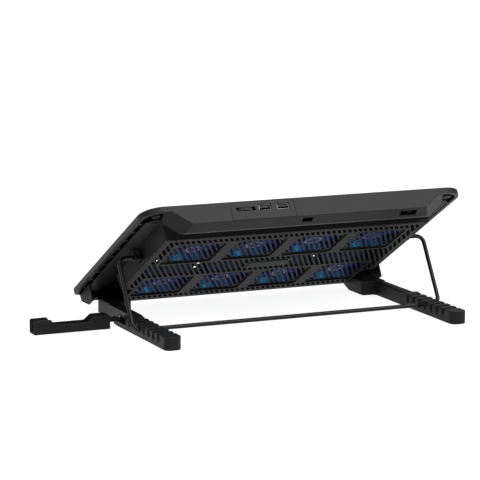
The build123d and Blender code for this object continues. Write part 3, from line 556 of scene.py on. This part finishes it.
class COOLINGPAD_OT_bail(Operator):
    """Enamelled wire bail: one round wire with four bends"""

    bl_idname = "coolingpad.bail"
    bl_label = "Wire bail"

    def execute(self, context):
        settings = settings_now()
        radius = settings.wire_radius
        low, high = (np.array(corner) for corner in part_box("bail"))
        pivot = np.array(JOINTS["bail_hinge"]["pos_m"])
        foot = np.array((0.0, high[1] - radius, low[2] + radius))
        half = (high[0] - low[0]) / 2 - radius
        middle = (high[0] + low[0]) / 2
        wall = np.array(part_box("bottom_grille")[1])[0] - middle - 0.003
        corners = np.array([
            (middle - wall, pivot[1], pivot[2]),
            (middle - half, pivot[1], pivot[2]),
            (middle - half, foot[1], foot[2]),
            (middle + half, foot[1], foot[2]),
            (middle + half, pivot[1], pivot[2]),
            (middle + wall, pivot[1], pivot[2]),
        ])
        path = rounded_path(corners, settings.bend_radius, 14)
        points, faces = tube(path, radius, 28)
        piece = mesh_piece("wire_bail", points, faces, MATERIALS["wire_metal"], "bail")
        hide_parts("bail")
        return {"FINISHED"}


# ---------------------------------------------------------------- fans and lamps
HUB_TOP, HUB_LOW = 0.0131, 0.0225
HUB_BORE = 0.0011
HUB_BEND = 0.0018
HUB_SIDES = 40
BLADE_MIDDLE = 0.0180


def hub_surface(u, s, radius):
    """Turned ring: a closed profile of a bore, straight sides and a rounded lower edge."""
    edge = np.linspace(0, pi / 2, 6)
    bend = HUB_BEND
    radii = np.concatenate((
        [HUB_BORE], radius - bend + bend * np.sin(edge), [radius, radius - 0.001, HUB_BORE],
    ))
    drops = np.concatenate((
        [HUB_LOW], HUB_LOW - bend + bend * np.cos(edge), [HUB_TOP + 0.0004, HUB_TOP, HUB_TOP],
    ))
    angle = np.arange(HUB_SIDES) / HUB_SIDES * tau
    spin = np.stack((np.cos(angle), np.sin(angle)), axis=-1)
    plane = radii[:, None, None] * spin[None]
    points = on_pad(u + plane[..., 0], s + plane[..., 1], drops[:, None])
    return points.reshape(-1, 3), grid_faces(len(radii), HUB_SIDES, wrap_rows=True, wrap_columns=True)


def blade_surface(u, s, hub, tip, turn):
    """Cambered blade: over (a, c), radius grows with a, and c runs from leading to trailing edge.

    Its middle line sweeps back with a squared, the chord's angle narrows slowly, the height falls
    evenly along the chord with a camber of 1 - c squared, and the thickness is elliptical.
    """
    a = np.linspace(0, 1, 9)[:, None]
    loop = np.arange(20) / 20 * tau
    c = np.cos(loop)[None]
    radius = hub - 0.0012 + (tip - hub + 0.0012) * a
    half_angle = radians(23) - radians(4.5) * a
    angle = turn + radians(24) * a**2 + half_angle * c
    rise = (0.0041 - 0.0006 * a) * c - 0.0011 * (1 - c**2)
    thick = 0.00055 * np.sin(loop)[None] * (1 - 0.3 * a)
    points = on_pad(u + radius * np.cos(angle), s + radius * np.sin(angle), BLADE_MIDDLE + rise + thick)
    return points


def rotor_mesh(u, s, hub, tip, blades, phase):
    points, hub_faces = hub_surface(u, s, hub)
    parts, faces = [points], [hub_faces]
    start = len(points)
    for blade in range(blades):
        surface = blade_surface(u, s, hub, tip, phase + tau * blade / blades)
        rows, columns = surface.shape[:2]
        parts.append(surface.reshape(-1, 3))
        faces.append(grid_faces(rows, columns, start, wrap_columns=True)[:, ::-1])
        ring = np.arange(columns)
        root = ring[None] + start
        tip_end = (ring[::-1] + (rows - 1) * columns)[None] + start
        faces.extend([root, tip_end])
        start += rows * columns
    return np.concatenate(parts), faces


class COOLINGPAD_OT_fans(Operator):
    """Tinted rotors with swept, cambered blades, their frames, and the lamps' light painted on them as emission"""

    bl_idname = "coolingpad.fans"
    bl_label = "Fans"

    def execute(self, context):
        settings = settings_now()
        for number in FAN_NUMBERS:
            u, s = fan_centre(number)
            phase = 0.37 * number
            points, faces = rotor_mesh(
                u, s, settings.hub_radius, settings.rotor_radius, settings.blades, phase
            )
            rotor = mesh_piece(
                f"rotor_{number}", points, faces, MATERIALS["fan_blade_plastic"],
                f"fan_rotor_{number}",
            )
            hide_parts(f"fan_rotor_{number}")
            soft_copy(
                f"fan_frame_{number}", 0.4 * settings.edge_round,
                MATERIALS["fan_frame_plastic"], "pad",
            )
        return {"FINISHED"}


class COOLINGPAD_OT_lamps(Operator):
    """Domed lamp lenses in front of each fan"""

    bl_idname = "coolingpad.lamps"
    bl_label = "Lamps"

    def execute(self, context):
        edge = np.linspace(0, pi / 2, 6)
        radius = LAMP_RADIUS
        top, low = LAMP_DROPS
        radii = np.concatenate(([0.00001, radius], radius * np.cos(edge)))
        radii[-1] = 0.00001
        drops = np.concatenate(([top, top], low - radius + radius * np.sin(edge)))
        angle = np.arange(LAMP_SIDES) / LAMP_SIDES * tau
        spin = np.stack((np.cos(angle), np.sin(angle)), axis=-1)
        plane = radii[:, None, None] * spin[None]
        parts, faces, start = [], [], 0
        for u, s in lamp_places():
            points = on_pad(u + plane[..., 0], s + plane[..., 1], drops[:, None]).reshape(-1, 3)
            parts.append(points)
            faces.append(grid_faces(len(radii), LAMP_SIDES, start, wrap_columns=True)[:, ::-1])
            start += len(points)
        piece = mesh_piece(
            "lamp_lenses", np.concatenate(parts), faces, MATERIALS["lamp_lens"], "pad"
        )
        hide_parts("fan_lamps")
        return {"FINISHED"}


# ---------------------------------------------------------------- small parts
def pad_block(centre, half, height, roundness):
    """Cushion-shaped pad: a superellipse outline that draws in over its last part towards the floor."""
    angle = np.arange(FOOT_SIDES) / FOOT_SIDES * tau
    power = 2 / roundness
    ring = np.stack((
        half[0] * np.sign(np.cos(angle)) * np.abs(np.cos(angle)) ** power,
        half[1] * np.sign(np.sin(angle)) * np.abs(np.sin(angle)) ** power,
    ), axis=-1)
    levels = np.array([0.0, 0.0, 0.15, 0.5, 1.0, 1.0])
    scale = np.array([0.001, 0.88, 0.97, 1.0, 1.0, 0.001])
    plane = scale[:, None, None] * ring[None]
    heights = np.broadcast_to(levels[:, None] * height, plane.shape[:2])
    points = np.stack((centre[0] + plane[..., 0], centre[1] + plane[..., 1], heights), axis=-1)
    return points.reshape(-1, 3), grid_faces(len(levels), FOOT_SIDES, wrap_columns=True)


FOOT_HALF = (0.0055, 0.011)
FOOT_OUTLINE_POWER = 5.0
FOOT_SIDES = 48


class COOLINGPAD_OT_feet(Operator):
    """Rubber feet under both legs"""

    bl_idname = "coolingpad.feet"
    bl_label = "Rubber feet"

    def execute(self, context):
        for side in ("left", "right"):
            low, high = (np.array(corner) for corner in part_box(f"feet_{side}"))
            mount = MOUNTS[f"{side}_rear_foot"]["pos_m"]
            front_x = low[0] + high[0] - mount[0]
            centres = ((mount[0], mount[1]), (front_x, low[1] + FOOT_HALF[1]))
            parts, faces, start = [], [], 0
            for centre in centres:
                points, quads = pad_block(centre, FOOT_HALF, high[2], FOOT_OUTLINE_POWER)
                parts.append(points)
                faces.append(quads + start)
                start += len(points)
            piece = mesh_piece(
                f"rubber_feet_{side}", np.concatenate(parts), faces,
                MATERIALS["rubber_black"], f"leg_{side}",
            )
            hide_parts(f"feet_{side}")
        return {"FINISHED"}


KEPT_NODES = {
    "top_frame": "frame_plastic",
    "top_mesh": "mesh_metal", "bottom_grille": "grille_plastic", "usb_shell_1": "usb_metal",
    "usb_shell_2": "usb_metal", "usb_tongue_1": "usb_insert", "usb_tongue_2": "usb_insert",
    "control_board": "board_green", "dial_spindle": "usb_insert", "lamp_switch_body": "usb_insert",
    "lamp_switch_slider": "dial_plastic", "cover_screws": "screw_steel", "fan_screws": "screw_steel",
    "leg_pin_left": "screw_steel", "leg_pin_right": "screw_steel", "holder_pin": "pin_steel",
    "stop_pin_left": "pin_steel", "stop_pin_right": "pin_steel", "speed_dial": "dial_plastic",
}


class COOLINGPAD_OT_finishes(Operator):
    """Better materials on the CAD nodes that stay"""

    bl_idname = "coolingpad.finishes"
    bl_label = "Finishes"

    def execute(self, context):
        for node, finish in KEPT_NODES.items():
            set_finish(node, MATERIALS[finish])
        return {"FINISHED"}


# ---------------------------------------------------------------- stage
VIEW_AZIMUTH = radians(23.548)
VIEW_ELEVATION = radians(9.86)
VIEW_DISTANCE = 3.2356
VIEW_AIM = Vector((-0.15056, -0.32795, 0.03042))
LENS = 184.51
FLOOR_SIZE = 30.0
FLOOR_GLOW = 0.91
FLOOR_COLOUR = (0.22, 0.22, 0.22, 1)
SKY_RISE = (0.05, 0.7)  # upward part of a direction where the sky starts and ends to brighten
SKY_STRENGTH = (0.12, 1.0)
SOFT_LIGHTS = (  # name, direction from the object, distance, size, watts
    ("top_light", (0.1, 0.3, 1.0), 2.2, 2.0, 26),
    ("rear_light", (-0.39, 0.61, 0.68), 2.4, 1.5, 48),
)


def view_direction():
    """Unit vector from the aim point back to the camera, which stands behind the pad."""
    level = cos(VIEW_ELEVATION)
    return Vector((sin(VIEW_AZIMUTH) * level, cos(VIEW_AZIMUTH) * level, sin(VIEW_ELEVATION)))


def soft_light(name, direction, distance, size, energy):
    """Square area light at this distance from the object's middle, facing it."""
    middle = Vector(np.mean(np.array(CAD_BOX), axis=0))
    data = bpy.data.lights.new(name, "AREA")
    data.size = size
    data.energy = energy
    lamp = bpy.data.objects.new(name, data)
    place = middle + Vector(direction).normalized() * distance
    turn = (middle - place).to_track_quat("-Z", "Y").to_matrix().to_4x4()
    lamp.matrix_world = Matrix.Translation(place) @ turn
    bpy.context.scene.collection.objects.link(lamp)


class COOLINGPAD_OT_stage(Operator):
    """Pale floor, soft studio light and the camera"""

    bl_idname = "coolingpad.stage"
    bl_label = "Stage"

    def execute(self, context):
        scene = context.scene
        paint = bpy.data.materials.new("stage_floor")
        paint.use_nodes = True
        shader = paint.node_tree.nodes["Principled BSDF"]
        shader.inputs["Base Color"].default_value = FLOOR_COLOUR
        shader.inputs["Roughness"].default_value = 0.9
        shader.inputs["Specular IOR Level"].default_value = 0.0
        shader.inputs["Emission Color"].default_value = (1, 1, 1, 1)
        shader.inputs["Emission Strength"].default_value = FLOOR_GLOW
        half = FLOOR_SIZE / 2
        mesh = bpy.data.meshes.new("stage_floor")
        corners = [(-half, -half, 0), (half, -half, 0), (half, half, 0), (-half, half, 0)]
        mesh.from_pydata(corners, [], [(0, 1, 2, 3)])
        mesh.materials.append(paint)
        floor = bpy.data.objects.new("stage_floor", mesh)
        scene.collection.objects.link(floor)
        world = bpy.data.worlds.new("studio")
        world.use_nodes = True
        tree = world.node_tree
        backdrop = tree.nodes["Background"]
        backdrop.inputs["Color"].default_value = (1, 1, 1, 1)
        upward = tree.nodes.new("ShaderNodeSeparateXYZ")
        tree.links.new(tree.nodes.new("ShaderNodeTexCoord").outputs["Generated"], upward.inputs["Vector"])
        rise = tree.nodes.new("ShaderNodeMapRange")
        rise.interpolation_type = "SMOOTHSTEP"
        rise.inputs["From Min"].default_value, rise.inputs["From Max"].default_value = SKY_RISE
        rise.inputs["To Min"].default_value, rise.inputs["To Max"].default_value = SKY_STRENGTH
        tree.links.new(upward.outputs["Z"], rise.inputs["Value"])
        tree.links.new(rise.outputs["Result"], backdrop.inputs["Strength"])
        scene.world = world
        scene.view_settings.view_transform = "Standard"
        for light in SOFT_LIGHTS:
            soft_light(*light)
        camera_data = bpy.data.cameras.new("camera")
        camera_data.lens = LENS
        camera_data.clip_end = 60
        camera = bpy.data.objects.new("camera", camera_data)
        back = view_direction()
        right = Vector((-cos(VIEW_AZIMUTH), sin(VIEW_AZIMUTH), 0))
        up = back.cross(right)
        turn = Matrix((right, up, back)).transposed().to_4x4()
        camera.matrix_world = Matrix.Translation(VIEW_AIM + back * VIEW_DISTANCE) @ turn
        scene.collection.objects.link(camera)
        scene.camera = camera
        return {"FINISHED"}


# ---------------------------------------------------------------- panel and registration
OPERATORS = (
    COOLINGPAD_OT_stage,
    COOLINGPAD_OT_shells,
    COOLINGPAD_OT_bail,
    COOLINGPAD_OT_fans,
    COOLINGPAD_OT_lamps,
    COOLINGPAD_OT_feet,
    COOLINGPAD_OT_finishes,
)


class COOLINGPAD_PT_sidebar(Panel):
    bl_label = "Cooling Pad"
    bl_idname = "COOLINGPAD_PT_sidebar"
    bl_space_type = "VIEW_3D"
    bl_region_type = "UI"
    bl_category = "Cooling Pad"

    def draw(self, context):
        settings = context.scene.cooling_pad
        for name in settings.bl_rna.properties.keys():
            if name not in {"rna_type", "name"}:
                self.layout.prop(settings, name)
        for operator in OPERATORS:
            self.layout.operator(operator.bl_idname)


CLASSES = (CoolingPadSettings, *OPERATORS, COOLINGPAD_PT_sidebar)


def register():
    for item in CLASSES:
        bpy.utils.register_class(item)
    bpy.types.Scene.cooling_pad = PointerProperty(type=CoolingPadSettings)


def unregister():
    del bpy.types.Scene.cooling_pad
    for item in reversed(CLASSES):
        bpy.utils.unregister_class(item)


def main():
    register()
    make_materials(settings_now())
    for operator in OPERATORS:
        group, name = operator.bl_idname.split(".")
        getattr(getattr(bpy.ops, group), name)()


if __name__ == "__main__":
    main()
